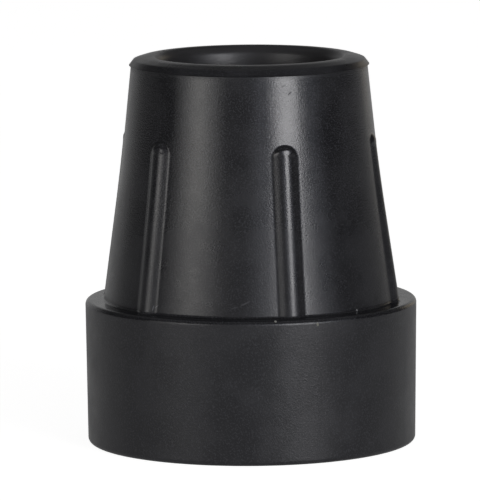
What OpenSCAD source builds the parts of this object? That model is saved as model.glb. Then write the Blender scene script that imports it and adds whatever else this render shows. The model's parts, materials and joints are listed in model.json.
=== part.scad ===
// Moulded rubber tip for the foot of a walking cane.
//
// It is one piece: a tapered neck with six half-round ribs stands on a wider foot.
// The cane's shaft is pushed down into the socket in the neck and held by its grip.
// The underside carries ring-shaped treads. Sizes are in millimetres, +Z points up.

/* [Socket] */
// Diameter of the socket, the size of the shaft that it grips
socket_d = 19; // [18:0.5:19]
// Depth of the socket below the rim
socket_depth = 32; // [26:0.5:34]
// Height over which the socket widens to its mouth
flare_h = 1.8; // [1.6:0.1:2.5]
// Slant of that widening, in degrees
flare_slant = 8; // [2:1:9]
// Rounding where the shaft enters
mouth_r = 1.2; // [0.6:0.1:1.2]
// Rounding at the socket's floor
floor_r = 0.8; // [0.2:0.1:2]

/* [Neck] */
// Height of the whole tip
total_h = 42.1; // [40:0.1:48]
// Outside diameter of the neck at its top
neck_top_d = 25.5; // [25.3:0.1:26]
// Outside diameter of the neck where it meets the foot
neck_base_d = 31.8; // [31:0.1:32.4]
// Outside diameter of the neck at its bend, below which it flares more
neck_bend_d = 27.8; // [27.4:0.1:28]
// Height of that bend above the ground
neck_bend_z = 30; // [28:0.5:31]
// Rounding of the rim's outer edge
rim_edge_r = 0.65; // [0.3:0.05:0.65]
// Width of the rim's sloping outer border
border_w = 1.45; // [1:0.05:1.45]
// Slope of that border, in degrees
border_slope = 17; // [8:1:17]
// Height that the mould's parting line stands proud
parting_h = 0.2; // [0.05:0.01:0.3]

/* [Ribs] */
// Number of ribs round the neck
rib_count = 6; // [3:1:8]
// Radius of a rib's half-round section
rib_r = 1.75; // [1.4:0.05:2]
// Height of a rib above the neck at its lower end
rib_base_h = 0.55; // [0.4:0.05:0.9]
// Height of a rib above the neck at its upper end
rib_top_h = 0.5; // [0.4:0.05:0.8]
// Height of a rib's upper end above the ground
rib_top_z = 33.7; // [31:0.1:36]

/* [Foot] */
// Diameter of the foot at its top
foot_d = 36; // [35.5:0.1:40]
// Height of the foot
foot_h = 15.6; // [12:0.1:17.5]
// Draft of the foot's side, in degrees
foot_draft = 0.65; // [0:0.05:2]
// Rounding of the foot's upper edge
shoulder_r = 0.5; // [0.3:0.1:0.9]
// Rounding of the foot's lower edge
heel_r = 0.5; // [0.2:0.1:1]
// Fillet between neck and foot
ledge_r = 0.3; // [0.2:0.1:0.5]

/* [Tread] */
// Number of ring grooves in the underside
groove_count = 3; // [0:1:3]
// Width of a groove
groove_w = 1.6; // [0.8:0.1:2.4]
// Depth of a groove
groove_depth = 1.2; // [0.5:0.1:3]
// Distance from one groove to the next
groove_pitch = 4.4; // [3:0.1:4.4]

/* [Hidden] */

$fn = 96;

rubber = [0.09, 0.09, 0.10];

socket_r = socket_d / 2;
socket_floor = total_h - socket_depth;
neck_top_r = neck_top_d / 2;
neck_base_r = neck_base_d / 2;
neck_bend_r = neck_bend_d / 2;
foot_r = foot_d / 2;
heel_x = foot_r - foot_h * tan(foot_draft);

// The rim's top falls gently from its crest, and more steeply at its outer border.
// The crest lies on the mouth's rounding.
crest_slope = 3;
mouth_x = socket_r + flare_h * tan(flare_slant);
crest_x = mouth_x
    + mouth_r * (cos(crest_slope) / tan((90 + flare_slant - crest_slope) / 2) - sin(crest_slope));
crest_z = total_h - mouth_r + mouth_r / cos(crest_slope);
border_x = neck_top_r - border_w;
function rim_top(x) = crest_z - (min(x, border_x) - crest_x) * tan(crest_slope)
    - max(x - border_x, 0) * tan(border_slope);

// Roundings of the slight bends in the rim's top, the socket's wall and the neck
border_r = 3.5;
flare_r = 8;
neck_bend_arc_r = 280;

// The parting line is a low ridge where the two halves of the mould met.
parting_z = total_h - 1;
parting_root = 0.15;
parting_reach = 0.45;

groove_corner_r = 0.35;

// A rib starts inside the foot, so that its lower end runs out on the ledge.
rib_sink = 1;

// The dome on a rib's upper end covers the bead's edge by a hair.
dome_bulge = 0.005;

// ---- Outlines with rounded corners ----
// A corner is [x, y, radius], and the corners run anticlockwise.
// Each arc bulges over its two edges by a hair, so that it crosses them cleanly.

arc_bulge = 0.001;
arc_margin = 0.3;

// Segments of a full circle for each millimetre of its radius, so that wide arcs stay smooth
segments_per_mm = 24;

function corner(outline, i) = outline[(i + len(outline)) % len(outline)];
function spot(c) = [c[0], c[1]];
function unit(v) = v / norm(v);
function leg(outline, i, step) = unit(spot(corner(outline, i + step)) - spot(outline[i]));
function inward(outline, i) = unit(leg(outline, i, -1) + leg(outline, i, 1));
function half_angle(outline, i) = acos(leg(outline, i, -1) * leg(outline, i, 1)) / 2;
function is_convex(outline, i) = cross(leg(outline, i, 1), leg(outline, i, -1)) > 0;

// Points on the two edges of a corner, at a multiple of the arc's own reach
function edge_points(outline, i, multiple) =
    let (reach = multiple * outline[i][2] / tan(half_angle(outline, i)))
    [for (step = [-1, 1]) spot(outline[i]) + reach * leg(outline, i, step)];

// The part of a corner's circle that lies towards the corner
module arc_cap(outline, i) {
    r = outline[i][2];
    ends = edge_points(outline, i, 1 + arc_margin);
    out = -2 * r * inward(outline, i);
    depth = r / sin(half_angle(outline, i)) - arc_bulge;
    intersection() {
        translate(spot(outline[i]) + depth * inward(outline, i))
            circle(r, $fn = max($fn, segments_per_mm * r));
        polygon([ends[0], ends[0] + out, ends[1] + out, ends[1]]);
    }
}

module rounded_outline(outline) {
    corners = [0 : len(outline) - 1];
    rounded = [for (i = corners) if (outline[i][2] > 0) i];
    difference() {
        union() {
            polygon([
                for (i = corners)
                    each outline[i][2] > 0 ? edge_points(outline, i, 1) : [spot(outline[i])]
            ]);
            for (i = rounded) if (is_convex(outline, i)) arc_cap(outline, i);
        }
        for (i = rounded) if (!is_convex(outline, i)) arc_cap(outline, i);
    }
}

// ---- Turned body ----

// Half section of foot, neck, rim and socket, from the axis outwards
module body_section() {
    rounded_outline([
        [0, 0, 0],
        [heel_x, 0, heel_r],
        [foot_r, foot_h, shoulder_r],
        [neck_base_r, foot_h, ledge_r],
        [neck_bend_r, neck_bend_z, neck_bend_arc_r],
        [neck_top_r, parting_z, 0],
        [neck_top_r, rim_top(neck_top_r), rim_edge_r],
        [border_x, rim_top(border_x), border_r],
        [mouth_x, rim_top(mouth_x), mouth_r],
        [socket_r, total_h - flare_h, flare_r],
        [socket_r, socket_floor, floor_r],
        [0, socket_floor, 0]
    ]);
}

module parting_section() {
    polygon([
        [neck_top_r - parting_root, parting_z - parting_reach],
        [neck_top_r + parting_h, parting_z],
        [neck_top_r - parting_root, parting_z + parting_reach]
    ]);
}

module groove_section() {
    rounded_outline([
        [0, -groove_depth, 0],
        [groove_w, -groove_depth, 0],
        [groove_w, groove_depth, groove_corner_r],
        [0, groove_depth, groove_corner_r]
    ]);
}

module turned_body() {
    rotate_extrude() difference() {
        union() {
            body_section();
            parting_section();
        }
        for (i = [1 : groove_count])
            translate([heel_x - i * groove_pitch, 0]) groove_section();
    }
}

// ---- Ribs ----

function neck_r(z) = z < neck_bend_z
    ? neck_base_r + (neck_bend_r - neck_base_r) * (z - foot_h) / (neck_bend_z - foot_h)
    : neck_bend_r + (neck_top_r - neck_bend_r) * (z - neck_bend_z) / (parting_z - neck_bend_z);

// Half the width of the part of a rib that stands h out of the neck
function rib_half_w(h) = sqrt(h * (2 * rib_r - h));

// A rib is a round bar, sunk into the neck, with a round upper end.
module rib() {
    end_z = rib_top_z - rib_half_w(rib_top_h);
    end_x = neck_r(end_z) + rib_top_h - rib_r;
    base_x = neck_base_r + rib_base_h - rib_r;
    rise = end_z - foot_h;
    lean = atan((base_x - end_x) / rise);
    bar_l = rise / cos(lean) + rib_sink;
    translate([end_x, 0, end_z])
        rotate([0, -lean, 0]) {
            translate([0, 0, -bar_l]) cylinder(h = bar_l, r = rib_r);
            sphere(rib_r + dome_bulge);
        }
}

// The X axis runs midway between two ribs.
module ribs() {
    for (i = [0 : rib_count - 1]) rotate((i + 0.5) * 360 / rib_count) rib();
}

module cane_tip() {
    color(rubber) {
        turned_body();
        ribs();
    }
}

cane_tip();
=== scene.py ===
import json
import math
import bpy
from mathutils import Matrix, Vector


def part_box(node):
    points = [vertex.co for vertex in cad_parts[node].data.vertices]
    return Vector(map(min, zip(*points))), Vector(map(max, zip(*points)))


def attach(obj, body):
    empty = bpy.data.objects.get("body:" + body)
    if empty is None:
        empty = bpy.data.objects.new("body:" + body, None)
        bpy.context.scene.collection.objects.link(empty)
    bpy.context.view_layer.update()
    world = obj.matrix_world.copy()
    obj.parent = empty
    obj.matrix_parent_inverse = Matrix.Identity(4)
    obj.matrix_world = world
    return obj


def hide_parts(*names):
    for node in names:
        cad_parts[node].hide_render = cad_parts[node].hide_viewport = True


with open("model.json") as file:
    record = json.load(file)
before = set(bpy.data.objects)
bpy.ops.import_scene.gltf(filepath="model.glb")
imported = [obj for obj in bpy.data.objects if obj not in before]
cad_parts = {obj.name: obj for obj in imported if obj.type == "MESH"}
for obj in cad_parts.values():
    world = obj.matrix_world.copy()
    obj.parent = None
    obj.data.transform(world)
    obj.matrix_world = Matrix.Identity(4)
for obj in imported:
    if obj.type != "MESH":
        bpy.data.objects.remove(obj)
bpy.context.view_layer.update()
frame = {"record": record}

mm = 0.001  # one millimetre in scene units


def hexToLinear(code):
    channels = [int(code[i:i + 2], 16) / 255 for i in (1, 3, 5)]
    return [c / 12.92 if c <= 0.04045 else ((c + 0.055) / 1.055) ** 2.4 for c in channels] + [1.0]


def addNode(tree, kind, values):
    # a value that is another node's socket is linked, and any other is set
    node = tree.nodes.new(kind)
    for name, value in values.items():
        if isinstance(value, bpy.types.NodeSocket):
            tree.links.new(value, node.inputs[name])
        elif isinstance(name, int) or name in node.inputs:
            node.inputs[name].default_value = value
        else:
            setattr(node, name, value)
    return node


view = {
    "distance": 636.9,      # mm from the point it is aimed at
    "elevation": 7.8,       # degrees above the table
    "azimuth": -15.3,       # degrees round from the front, anticlockwise seen from above
    "roll": 0.438,          # degrees
    "aimHeight": 19.8,      # mm, of that point on the tip's axis
    "aimRight": 10.57,      # pixels from the picture's centre to that point
    "aimDown": 8.45,
    "pixelsPerMm": 9.205,   # at that distance
    "pictureWidth": 480,    # pixels
    "sensorWidth": 36,      # mm
    "clipStart": 10,        # mm
}


def placeCamera(v):
    azimuth, elevation, roll = (math.radians(v[k]) for k in ("azimuth", "elevation", "roll"))
    outward = Vector((math.sin(azimuth) * math.cos(elevation),
                      -math.cos(azimuth) * math.cos(elevation),
                      math.sin(elevation)))
    level = Vector((math.cos(azimuth), math.sin(azimuth), 0))
    upright = outward.cross(level)
    right = level * math.cos(roll) - upright * math.sin(roll)
    up = level * math.sin(roll) + upright * math.cos(roll)
    aim = Vector((0, 0, v["aimHeight"]))
    aim += (up * v["aimDown"] - right * v["aimRight"]) / v["pixelsPerMm"]
    place = Matrix((right, up, outward)).transposed().to_4x4()
    place.translation = (aim + outward * v["distance"]) * mm
    lens = bpy.data.cameras.new("camera")
    lens.sensor_fit = "HORIZONTAL"
    lens.sensor_width = v["sensorWidth"]
    lens.lens = v["pixelsPerMm"] * v["distance"] * v["sensorWidth"] / v["pictureWidth"]
    lens.clip_start = v["clipStart"] * mm
    camera = bpy.data.objects.new("camera", lens)
    camera.matrix_world = place
    bpy.context.scene.collection.objects.link(camera)
    bpy.context.scene.camera = camera
    print("camera placed")
    return outward


towardsCamera = placeCamera(view)


studio = {
    "softBoxes": {   # azimuth in degrees to the right of the camera, distance and size in mm
        "rightBox": {"azimuth": 35, "elevation": 8, "distance": 1000, "size": (390, 560),
                     "radiance": 7.6, "colour": "#FFFEF9"},
        "leftBox": {"azimuth": -48, "elevation": 8, "distance": 1000, "size": (300, 500),
                    "radiance": 1.7, "colour": "#FFFCF0"},
        "leftGlow": {"azimuth": -48, "elevation": 8, "distance": 1050, "size": (760, 560),
                     "radiance": 1.35, "colour": "#FFFEF8"},
        "rightGlow": {"azimuth": 36, "elevation": 18, "distance": 1100, "size": (1300, 500),
                      "radiance": 0.95, "colour": "#F0F6FF"},
        "frontFill": {"azimuth": 0, "elevation": 12, "distance": 1500, "size": (1500, 1200),
                      "radiance": 0.24, "colour": "#FFFFFF"},
        "rightBack": {"azimuth": 148, "elevation": 8, "distance": 1000, "size": (350, 500),
                      "radiance": 0.48, "colour": "#FFF1D8"},
    },
    "roomGrey": (0.07, 0.24),   # strength of the dim room low down and overhead
    "roomRise": (0.55, 1.0),    # sines of the elevations between which it brightens
    "white": "#FFFFFF",
    "floor": {"shade": 0.40,    # share of the white that takes shadows
              "glow": 0.92,     # the rest, as the camera sees it
              "inGloss": 0.29}, # and as the rubber's sheen sees it
    "floorRadius": 4000,        # mm
    "floorSides": 96,
    "wall": {"shade": 0.10, "glow": 1.0, "inGloss": 0.36},
    "wallDistance": 1500,       # mm from the tip to the white wall behind it
    "wallSize": (2200, 700),    # mm
    "wallShift": -500,          # mm to the right as the camera sees it, so it stands to the left
}


def addSoftBox(name, box):
    turn = math.radians(box["azimuth"]) + math.atan2(towardsCamera.y, towardsCamera.x)
    rise = math.radians(box["elevation"])
    outward = Vector((math.cos(turn) * math.cos(rise),
                      math.sin(turn) * math.cos(rise),
                      math.sin(rise)))
    lamp = bpy.data.lights.new(name, "AREA")
    lamp.shape = "RECTANGLE"
    lamp.size, lamp.size_y = (s * mm for s in box["size"])
    lamp.color = hexToLinear(box["colour"])[:3]
    lamp.energy = box["radiance"] * math.pi * lamp.size * lamp.size_y
    holder = bpy.data.objects.new(name, lamp)
    holder.matrix_world = Matrix.Translation(outward * box["distance"] * mm) @ \
        outward.to_track_quat("Z", "Y").to_matrix().to_4x4()
    holder.visible_camera = False
    bpy.context.scene.collection.objects.link(holder)


for boxName, softBox in studio["softBoxes"].items():
    addSoftBox(boxName, softBox)


def whitePaper(name, paper):
    # matt white paper: it takes the object's shadow, and glows so that it shows as white
    material = bpy.data.materials.new(name)
    material.use_nodes = True
    tree = material.node_tree
    tree.nodes.clear()
    ray = addNode(tree, "ShaderNodeLightPath", {})
    mirrored = addNode(tree, "ShaderNodeMath", {
        "operation": "MAXIMUM", 0: ray.outputs["Is Glossy Ray"],
        1: ray.outputs["Is Transmission Ray"]})
    dimmed = addNode(tree, "ShaderNodeMath", {
        "operation": "MULTIPLY", 0: mirrored.outputs[0], 1: paper["inGloss"]})
    strength = addNode(tree, "ShaderNodeMath", {
        "operation": "MULTIPLY_ADD", 0: ray.outputs["Is Camera Ray"], 1: paper["glow"],
        2: dimmed.outputs[0]})
    glow = addNode(tree, "ShaderNodeEmission", {
        "Color": hexToLinear(studio["white"]), "Strength": strength.outputs[0]})
    matt = addNode(tree, "ShaderNodeBsdfDiffuse", {"Color": [paper["shade"]] * 3 + [1]})
    both = addNode(tree, "ShaderNodeAddShader", {0: glow.outputs[0], 1: matt.outputs[0]})
    addNode(tree, "ShaderNodeOutputMaterial", {"Surface": both.outputs[0]})
    return material


def addStage(s):
    bpy.ops.mesh.primitive_circle_add(vertices=s["floorSides"], radius=s["floorRadius"] * mm,
                                      fill_type="NGON")
    floor = bpy.context.object
    floor.name = "floor"
    floor.data.materials.append(whitePaper("floorPaper", s["floor"]))
    bpy.ops.mesh.primitive_plane_add(size=1)
    wall = bpy.context.object
    wall.name = "wall"
    behind = -Vector((towardsCamera.x, towardsCamera.y, 0)).normalized()
    sideways = Vector((behind.y, -behind.x, 0))
    width, height = s["wallSize"]
    place = behind.to_track_quat("Z", "Y").to_matrix().to_4x4()
    place = place @ Matrix.Diagonal((width * mm, height * mm, 1, 1))
    place.translation = (behind * s["wallDistance"] + sideways * s["wallShift"]
                         + Vector((0, 0, height / 2))) * mm
    wall.matrix_world = place
    wall.data.materials.append(whitePaper("wallPaper", s["wall"]))


addStage(studio)


def lightRoom(s):
    world = bpy.data.worlds.new("studioRoom")
    bpy.context.scene.world = world
    world.use_nodes = True
    tree = world.node_tree
    tree.nodes.clear()
    ray = addNode(tree, "ShaderNodeLightPath", {})
    place = addNode(tree, "ShaderNodeTexCoord", {})
    split = addNode(tree, "ShaderNodeSeparateXYZ", {"Vector": place.outputs["Generated"]})
    dim = addNode(tree, "ShaderNodeMapRange", {
        "Value": split.outputs["Z"], "From Min": s["roomRise"][0], "From Max": s["roomRise"][1],
        "To Min": s["roomGrey"][0], "To Max": s["roomGrey"][1]})
    strength = addNode(tree, "ShaderNodeMath", {
        "operation": "MAXIMUM", 0: ray.outputs["Is Camera Ray"], 1: dim.outputs[0]})
    background = addNode(tree, "ShaderNodeBackground", {
        "Color": hexToLinear(s["white"]), "Strength": strength.outputs[0]})
    addNode(tree, "ShaderNodeOutputWorld", {"Surface": background.outputs[0]})


lightRoom(studio)
print("studio lit")


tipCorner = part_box("cane_tip")[1]   # the solid's highest x, y and z
socketMount = next(m for m in frame["record"]["mounts"] if m["name"] == "shaft_socket")

tip = {   # sizes in mm; the height and the foot's and socket's radii come from the solid
    "height": tipCorner[2] / mm,
    "footRadius": tipCorner[0] / mm,
    "footHeight": 15.6,
    "footDraft": 0.65,         # degrees
    "heelRound": 0.5,
    "shoulderRound": 0.5,
    "ledgeRound": 0.3,
    "neckBaseRadius": 15.95,
    "neckBend": (13.95, 30.0), # radius and height at which the flare eases
    "neckBendRound": 280,
    "neckTopRadius": 12.8,
    "rimEdgeRound": 0.65,
    "borderWidth": 1.45,       # sloping outer border of the rim
    "borderSlope": 17,         # degrees
    "crestSlope": 3,           # degrees, inside that border
    "borderRound": 3.5,
    "mouthRound": 1.2,
    "flareHeight": 1.8,        # the socket widens over this to its mouth
    "flareSlant": 8,           # degrees
    "flareRound": 8,
    "socketRadius": socketMount["dims"]["r_mm"],
    "socketDepth": 32,
    "floorRound": 0.8,
    "partingDrop": 1.0,        # from the rim down to the mould's parting line
    "partingProud": 0.2,
    "partingRoot": 0.15,       # depth at which its two slopes would end inside the neck
    "partingOver": 0.45,       # height of its upper slope down to that depth
    "partingUnder": 0.16,      # and of its lower slope, which is undercut
    "partingZone": 0.6,        # it is only looked for this close to its crest
    "grooves": 3,
    "grooveWidth": 1.6,
    "grooveDepth": 1.2,
    "groovePitch": 4.4,
    "grooveRound": 0.35,
    "ribs": {
        "count": 6,
        "radius": 1.75,        # of the half-round section
        "baseHeight": 0.55,    # proud of the neck at the ledge
        "topHeight": 0.5,
        "topLevel": 33.7,      # height of the round upper end
        "fillet": 0.33,        # softening where a rib runs into the neck
        "endSharpness": 7,     # how steeply the round end drops
        # how far each rib sits off its place, at its upper end and at the ledge
        "drift": ((0, 0), (0, 0), (0, 0), (0, 0), (0.09, 0.15), (0.35, 0.40)),
        # and how much lower it stands there
        "shortfall": ((0, 0), (0, 0), (0, 0), (0, 0), (0, 0), (0.20, 0.05)),
    },
    "mesh": {                  # how finely it is drawn
        "stride": 0.9,         # between rows
        "partingStride": 0.06,
        "ribEnd": (0.8, 1.4, 0.09),   # below the ribs' upper ends, reach each way, stride
        "ledgeFillet": (0.8, 0.15),   # height above the ledge, stride
        "outside": 0.3,        # fine rows reach this far inside the neck's top
        "aheadStride": 0.12,   # the shortest stride taken on the way into a fine zone
        "flat": 0.4,           # a stretch longer than this is a flat
        "edgeRow": 0.06,       # rows this close to a flat's ends keep its shading plain
        "lastGap": 0.02,       # a remainder below this joins the stride before it
        "arcStep": 9,          # degrees, the longest step along a rounding
        "arcStride": 1.2,      # and the longest in mm
        "smallArc": 0.4,       # radius up to which a rounding may have longer steps
        "smallArcStep": 18,
        "leastSteps": 4,       # along any rounding
        "ribSpan": 8,          # degrees either side of a rib that have fine columns
        "ribColumn": 0.5,      # degrees
        "gapSteps": 16,        # from one rib's fine columns to the next one's
    },
}
hair = 1e-4   # mm, more than any rounding error in a row's place


def slope(degrees):
    return math.tan(math.radians(degrees))


def tipOutline(t):
    # half section from the underside's middle to the socket's floor: radius, height, rounding
    heelX = t["footRadius"] - t["footHeight"] * slope(t["footDraft"])
    corners = [(0, 0, 0)]
    for i in range(t["grooves"], 0, -1):
        inner = heelX - i * t["groovePitch"]
        outer = inner + t["grooveWidth"]
        corners += [(inner, 0, 0), (inner, t["grooveDepth"], t["grooveRound"]),
                    (outer, t["grooveDepth"], t["grooveRound"]), (outer, 0, 0)]
    # the crest of the rim lies on the mouth's rounding
    mouthX = t["socketRadius"] + t["flareHeight"] * slope(t["flareSlant"])
    lean = math.radians(t["crestSlope"])
    mouthReach = math.cos(lean) / slope((90 + t["flareSlant"] - t["crestSlope"]) / 2)
    crestX = mouthX + t["mouthRound"] * (mouthReach - math.sin(lean))
    crestZ = t["height"] - t["mouthRound"] + t["mouthRound"] / math.cos(lean)
    borderX = t["neckTopRadius"] - t["borderWidth"]

    def rimTop(x):
        return crestZ - (min(x, borderX) - crestX) * slope(t["crestSlope"]) \
            - max(x - borderX, 0) * slope(t["borderSlope"])

    socketFloor = t["height"] - t["socketDepth"]
    corners += [
        (heelX, 0, t["heelRound"]),
        (t["footRadius"], t["footHeight"], t["shoulderRound"]),
        (t["neckBaseRadius"], t["footHeight"], t["ledgeRound"]),
        (*t["neckBend"], t["neckBendRound"]),
        (t["neckTopRadius"], t["height"] - t["partingDrop"], 0),
        (t["neckTopRadius"], rimTop(t["neckTopRadius"]), t["rimEdgeRound"]),
        (borderX, rimTop(borderX), t["borderRound"]),
        (mouthX, rimTop(mouthX), t["mouthRound"]),
        (t["socketRadius"], t["height"] - t["flareHeight"], t["flareRound"]),
        (t["socketRadius"], socketFloor, t["floorRound"]),
        (0, socketFloor, 0),
    ]
    return corners


def roundedCorners(corners, m):
    points = []
    for i, (x, z, radius) in enumerate(corners):
        here = Vector((x, z))
        if radius == 0:
            points.append(here)
            continue
        before = (Vector(corners[i - 1][:2]) - here).normalized()
        after = (Vector(corners[i + 1][:2]) - here).normalized()
        half = before.angle(after) / 2
        reach = radius / math.tan(half)
        centre = here + (before + after).normalized() * (radius / math.sin(half))
        start, end = here + before * reach - centre, here + after * reach - centre
        turn = math.pi - 2 * half
        arcStep = math.radians(m["arcStep"] if radius > m["smallArc"] else m["smallArcStep"])
        steps = max(m["leastSteps"], math.ceil(turn / arcStep),
                    math.ceil(turn * radius / m["arcStride"]))
        for k in range(steps + 1):
            share = k / steps
            points.append(centre + (start * math.sin((1 - share) * turn)
                                    + end * math.sin(share * turn)) / math.sin(turn))
    return points


def rowStride(spot, t):
    # fine rows outside, along the parting line, where the ribs end and where they meet the ledge
    radius, z = spot
    m = t["mesh"]
    endDrop, endReach, endStride = m["ribEnd"]
    filletHeight, filletStride = m["ledgeFillet"]
    if radius > t["neckTopRadius"] - m["outside"]:
        if abs(z - t["height"] + t["partingDrop"]) < t["partingZone"]:
            return m["partingStride"]
        if abs(z - t["ribs"]["topLevel"] + endDrop) < endReach:
            return endStride
        if 0 < z - t["footHeight"] < filletHeight:
            return filletStride
    return m["stride"]


def outlineRows(t):
    m = t["mesh"]
    points = roundedCorners(tipOutline(t), m)
    rows = [points[0]]
    for a, b in zip(points, points[1:]):
        length = (b - a).length
        if length < hair:
            continue
        stops = [0.0, length]
        if length > m["flat"]:
            stops[1:1] = [m["edgeRow"], length - m["edgeRow"]]
        for spot, stop in zip(stops, stops[1:]):
            # a long stretch is walked in strides as short as either end of each asks
            while spot < stop:
                stride = rowStride(a.lerp(b, spot / length), t)
                ahead = a.lerp(b, min(spot + stride, stop) / length)
                spot += min(stride, max(rowStride(ahead, t), m["aheadStride"]))
                if stop - spot < m["lastGap"]:
                    spot = stop
                rows.append(a.lerp(b, spot / length))
    return rows


def tipColumns(t):
    m, count = t["mesh"], t["ribs"]["count"]
    sector = 360 / count
    gap = sector - 2 * m["ribSpan"]
    halfCount = round(m["ribSpan"] / m["ribColumn"])
    offsets = [i * m["ribColumn"] for i in range(-halfCount, halfCount + 1)]
    offsets += [m["ribSpan"] + gap * k / m["gapSteps"] for k in range(1, m["gapSteps"])]
    return [math.radians((i + 0.5) * sector + offset) for i in range(count) for offset in offsets]


def blendedMax(a, b, blend):
    return max(a, b) + max(blend - abs(a - b), 0) ** 2 / (4 * blend)


def ribHeight(angle, z, neckRadius, t):
    r = t["ribs"]
    sector = 2 * math.pi / r["count"]
    index = int(angle // sector)
    offAxis = angle - (index + 0.5) * sector
    endHalfWidth = math.sqrt(r["topHeight"] * (2 * r["radius"] - r["topHeight"]))
    endZ = r["topLevel"] - endHalfWidth
    down = min(max((endZ - z) / (endZ - t["footHeight"]), 0), 1)
    shortTop, shortFoot = r["shortfall"][index]
    topHeight, baseHeight = r["topHeight"] - shortTop, r["baseHeight"] - shortFoot
    proud = topHeight + (baseHeight - topHeight) * down
    driftTop, driftFoot = r["drift"][index]
    across = neckRadius * math.sin(offAxis) - driftTop - (driftFoot - driftTop) * down
    past = max(z - endZ, 0)
    away = math.hypot(across, past)
    if away > r["radius"]:
        return 0.0
    bead = math.sqrt(r["radius"] ** 2 - away ** 2) - r["radius"] + proud
    if past > 0:
        # towards its tip, the round end drops more steeply than a ball would
        steep = proud * (1 - (away / endHalfWidth) ** r["endSharpness"])
        turned = past / away
        bead += (steep - bead) * turned * turned * (3 - 2 * turned)
    return blendedMax(bead, 0, r["fillet"])


def partingHeight(z, radius, t):
    above = z - (t["height"] - t["partingDrop"])
    if abs(above) > t["partingZone"]:
        return 0.0
    away = above / t["partingOver"] if above > 0 else -above / t["partingUnder"]
    ridge = t["neckTopRadius"] + t["partingProud"] - (t["partingProud"] + t["partingRoot"]) * away
    return max(ridge - radius, 0.0)


def buildTip(t):
    rows = outlineRows(t)
    columns = tipColumns(t)
    count = len(columns)
    crest = max(range(len(rows)), key=lambda i: rows[i].y)
    # the parting line stands out of the outside of the neck
    proud = [partingHeight(row.y, row.x, t) if i < crest else 0.0 for i, row in enumerate(rows)]
    ledgeStart = t["neckBaseRadius"] + t["ledgeRound"]
    ledgeEnd = t["footRadius"] - t["shoulderRound"]
    vertices = [(0.0, 0.0, rows[0].y * mm)]
    for i, row in enumerate(rows[1:-1], 1):
        # the ribs stand out of the neck in full, and run out across the ledge
        share = 0.0
        if i < crest and row.y > t["footHeight"] - hair:
            share = min(max((ledgeEnd - row.x) / (ledgeEnd - ledgeStart), 0), 1)
        for angle in columns:
            radius = row.x + proud[i]
            if share > 0:
                radius += share * ribHeight(angle % (2 * math.pi), row.y, row.x, t)
            vertices.append((radius * math.cos(angle) * mm, radius * math.sin(angle) * mm,
                             row.y * mm))
    vertices.append((0.0, 0.0, rows[-1].y * mm))
    # one ring of vertices for each row, between the two points on the axis
    rings = [1 + i * count for i in range(len(rows) - 2)]
    last = len(vertices) - 1
    faces = []
    for j in range(count):
        k = (j + 1) % count
        faces.append((0, rings[0] + k, rings[0] + j))
        faces += [(a + j, a + k, b + k, b + j) for a, b in zip(rings, rings[1:])]
        faces.append((rings[-1] + j, rings[-1] + k, last))
    mesh = bpy.data.meshes.new("caneTip")
    mesh.from_pydata(vertices, [], faces)
    mesh.validate()
    mesh.shade_smooth()
    # the parting line has a sharp crest and rises from the neck and the rim with a crease
    creased = {i for i in range(1, len(rows) - 1)
               if proud[i] == 0 and proud[i - 1] + proud[i + 1] > 0}
    creased.add(proud.index(max(proud)))
    for edge in mesh.edges:
        low, high = sorted(edge.vertices)
        ring = (low - 1) // count + 1
        if ring in creased and high <= ring * count:
            edge.use_edge_sharp = True
    piece = bpy.data.objects.new("caneTip", mesh)
    bpy.context.scene.collection.objects.link(piece)
    print("tip built:", len(rows), "rows,", len(mesh.polygons), "faces")
    return piece


caneTip = buildTip(tip)


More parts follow.
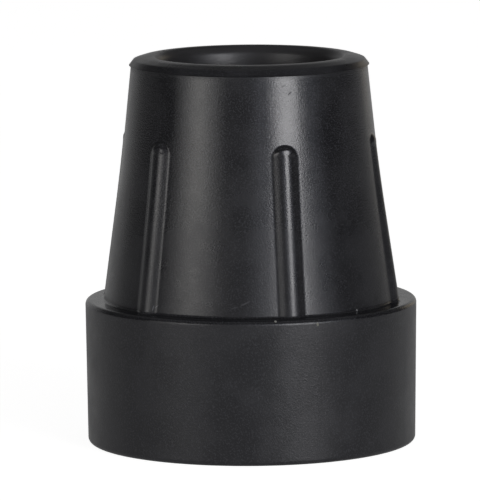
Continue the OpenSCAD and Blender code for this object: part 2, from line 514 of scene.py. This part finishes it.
rubber = {
    "black": "#131316",         # filled with carbon black, a little cool
    "ior": 1.52,
    "cast": "#F8F8FF",          # tint of the sheen
    "footRoughness": 0.36,
    "roughnessSteps": (         # from and to which height in mm it changes, and to what
        (15.0, 15.5, 0.18),     # ledge
        (15.65, 15.8, 0.31),    # neck near the ledge
        (18.0, 36.0, 0.20),     # neck near the rim, rubbed smooth
        (40.4, 41.0, 0.30),     # rim
    ),
    "patterns": {               # noise: size in mm, and layers of finer detail
        "patches": (4.5, 2),    # where the surface is duller
        "smudges": (1.3, 1),
        "specks": (0.17, 1),    # the real ones are finer, so they are drawn coarser to show
        "grain": (0.16, 2),     # of the mould's matt finish, drawn coarser as well
    },
    "noiseRange": (0.25, 0.75), # where the values of such a pattern mostly lie
    "bloom": "#1E1E21",         # wax and dust that dull the surface in the patches
    "bloomRange": (0.42, 0.62), # values of the pattern between which it sets in
    "speck": "#2D2D31",         # pale filler that shows as fine specks
    "speckRange": (0.48, 0.72),
    "socketPaintedLight": "#2C2B2D",    # painted light: paler inside the socket, lifting the shade of that hollow
    "socketEdge": (0.9, 0.4),   # mm outside the socket's wall, between which it sets in
    "socketRoughness": 0.38,
    "patchRoughness": 0.05,     # how far the patches change it either way
    "smudgeRoughness": 0.02,
    "grainDepth": 0.016,        # mm
    "markEdge": (1.0, 0.6),     # share of a mark's half size, between which it sets in
    # small marks: angle in degrees round the tip from +X, height, radius and half sizes in mm,
    # and tilt in degrees
    "marks": (
        {"angle": -86.2, "height": 39.20, "radius": 12.94, "half": (0.34, 0.08, 0.4),
         "tilt": 42, "tone": "#202024", "roughness": 0.60},   # nicks in the neck
        {"angle": -89.0, "height": 40.00, "radius": 12.85, "half": (0.38, 0.07, 0.4),
         "tilt": 30, "tone": "#1A1A1E", "roughness": 0.38},
        {"angle": -111.8, "height": 16.72, "radius": 15.75, "half": (0.50, 0.10, 0.5),
         "tilt": 18, "tone": "#2C2C30", "roughness": 0.45},   # scuff above the ledge
        {"angle": -107.6, "height": 17.18, "radius": 15.68, "half": (0.72, 0.12, 0.5),
         "tilt": 26, "tone": "#303034", "roughness": 0.45},
        {"angle": -146.0, "height": 16.25, "radius": 15.98, "half": (0.34, 0.07, 0.4),
         "tilt": 80, "tone": "#5A5A60", "roughness": 0.30},   # shreds of flash by a rib
        {"angle": -144.7, "height": 16.45, "radius": 15.80, "half": (0.36, 0.07, 0.4),
         "tilt": 40, "tone": "#505056", "roughness": 0.30},
        {"angle": -97.0, "height": 15.55, "radius": 17.72, "half": (0.15, 0.16, 0.3),
         "tilt": 0, "tone": "#9A9A96", "roughness": 0.70},    # crumbs of dust on the ledge
        {"angle": -82.3, "height": 15.05, "radius": 17.98, "half": (0.15, 0.24, 0.3),
         "tilt": 12, "tone": "#6C6C64", "roughness": 0.60},
        {"angle": -60.2, "height": 15.76, "radius": 15.95, "half": (0.13, 0.13, 0.3),
         "tilt": 0, "tone": "#77777A", "roughness": 0.60},
        {"angle": -154.5, "height": 11.95, "radius": 17.95, "half": (0.85, 0.08, 0.4),
         "tilt": 22, "tone": "#101012", "roughness": 0.42},   # faint scratches on the foot
        {"angle": -157.0, "height": 11.80, "radius": 17.95, "half": (0.75, 0.08, 0.4),
         "tilt": -24, "tone": "#101012", "roughness": 0.42},
    ),
}


def markFrame(mark):
    # place, turn and half sizes of a mark in scene units
    angle, tilt = math.radians(mark["angle"]), math.radians(mark["tilt"])
    outward = Vector((math.cos(angle), math.sin(angle), 0))
    sideways = Vector((-math.sin(angle), math.cos(angle), 0))
    along = sideways * math.cos(tilt) + Vector((0, 0, math.sin(tilt)))
    turn = Matrix((along, outward.cross(along), outward)).transposed().to_euler()
    place = (outward * mark["radius"] + Vector((0, 0, mark["height"]))) * mm
    return place, turn, [half * mm for half in mark["half"]]


def mouldedRubber(r, socketRadius):
    # black rubber from a matt steel mould: a soft sheen broken by fine grain, duller in patches
    # and a little smoother where it is handled; painted light makes it paler inside the socket
    material = bpy.data.materials.new("mouldedBlackRubber")
    material.use_nodes = True
    tree = material.node_tree
    tree.nodes.clear()
    place = addNode(tree, "ShaderNodeTexCoord", {}).outputs["Object"]
    split = addNode(tree, "ShaderNodeSeparateXYZ", {"Vector": place})
    flat = addNode(tree, "ShaderNodeCombineXYZ", {
        "X": split.outputs["X"], "Y": split.outputs["Y"]})
    radius = addNode(tree, "ShaderNodeVectorMath", {"operation": "LENGTH", 0: flat.outputs[0]})
    noise = {}
    for name, (size, detail) in r["patterns"].items():
        noise[name] = addNode(tree, "ShaderNodeTexNoise", {
            "Vector": place, "Scale": 1 / (size * mm), "Detail": detail}).outputs["Fac"]

    rough = r["footRoughness"]
    for start, end, level in r["roughnessSteps"]:
        rough = addNode(tree, "ShaderNodeMapRange", {
            "interpolation_type": "SMOOTHSTEP", "Value": split.outputs["Z"],
            "From Min": start * mm, "From Max": end * mm,
            "To Min": rough, "To Max": level}).outputs[0]

    colour = hexToLinear(r["black"])
    socketRange = [(socketRadius + edge) * mm for edge in r["socketEdge"]]
    # the patches and specks are the rubber's own tone; the socket's paler tone is painted light
    # in that hollow
    for value, (start, end), tone in ((noise["patches"], r["bloomRange"], r["bloom"]),
                                      (noise["specks"], r["speckRange"], r["speck"]),
                                      (radius.outputs["Value"], socketRange, r["socketPaintedLight"])):
        share = addNode(tree, "ShaderNodeMapRange", {
            "interpolation_type": "SMOOTHSTEP", "Value": value,
            "From Min": start, "From Max": end}).outputs[0]
        colour = addNode(tree, "ShaderNodeMix", {
            "data_type": "RGBA", 0: share, 6: colour, 7: hexToLinear(tone)}).outputs[2]
    # the last share is the socket's
    rough = addNode(tree, "ShaderNodeMapRange", {
        "interpolation_type": "SMOOTHSTEP", "Value": share, "To Min": rough,
        "To Max": r["socketRoughness"]}).outputs[0]

    for name, amount in (("patches", r["patchRoughness"]), ("smudges", r["smudgeRoughness"])):
        change = addNode(tree, "ShaderNodeMapRange", {
            "Value": noise[name], "From Min": r["noiseRange"][0], "From Max": r["noiseRange"][1],
            "To Min": -amount, "To Max": amount}).outputs[0]
        rough = addNode(tree, "ShaderNodeMath", {
            "operation": "ADD", 0: rough, 1: change}).outputs[0]

    for mark in r["marks"]:
        spot, turn, half = markFrame(mark)
        near = addNode(tree, "ShaderNodeMapping", {
            "vector_type": "TEXTURE", "Vector": place, "Location": spot, "Rotation": turn,
            "Scale": half})
        reach = addNode(tree, "ShaderNodeVectorMath", {"operation": "LENGTH", 0: near.outputs[0]})
        share = addNode(tree, "ShaderNodeMapRange", {
            "interpolation_type": "SMOOTHSTEP", "Value": reach.outputs["Value"],
            "From Min": r["markEdge"][0], "From Max": r["markEdge"][1]}).outputs[0]
        colour = addNode(tree, "ShaderNodeMix", {
            "data_type": "RGBA", 0: share, 6: colour, 7: hexToLinear(mark["tone"])}).outputs[2]
        rough = addNode(tree, "ShaderNodeMapRange", {
            "interpolation_type": "SMOOTHSTEP", "Value": share, "To Min": rough,
            "To Max": mark["roughness"]}).outputs[0]

    bump = addNode(tree, "ShaderNodeBump", {
        "Distance": r["grainDepth"] * mm, "Height": noise["grain"]})
    surface = addNode(tree, "ShaderNodeBsdfPrincipled", {
        "Base Color": colour, "Roughness": rough, "IOR": r["ior"],
        "Specular Tint": hexToLinear(r["cast"]), "Normal": bump.outputs[0]})
    addNode(tree, "ShaderNodeOutputMaterial", {"Surface": surface.outputs[0]})
    return material


caneTip.data.materials.append(mouldedRubber(rubber, tip["socketRadius"]))
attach(caneTip, "root")
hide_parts("cane_tip")
print("rubber finished")

bpy.context.scene.view_settings.view_transform = "Standard"
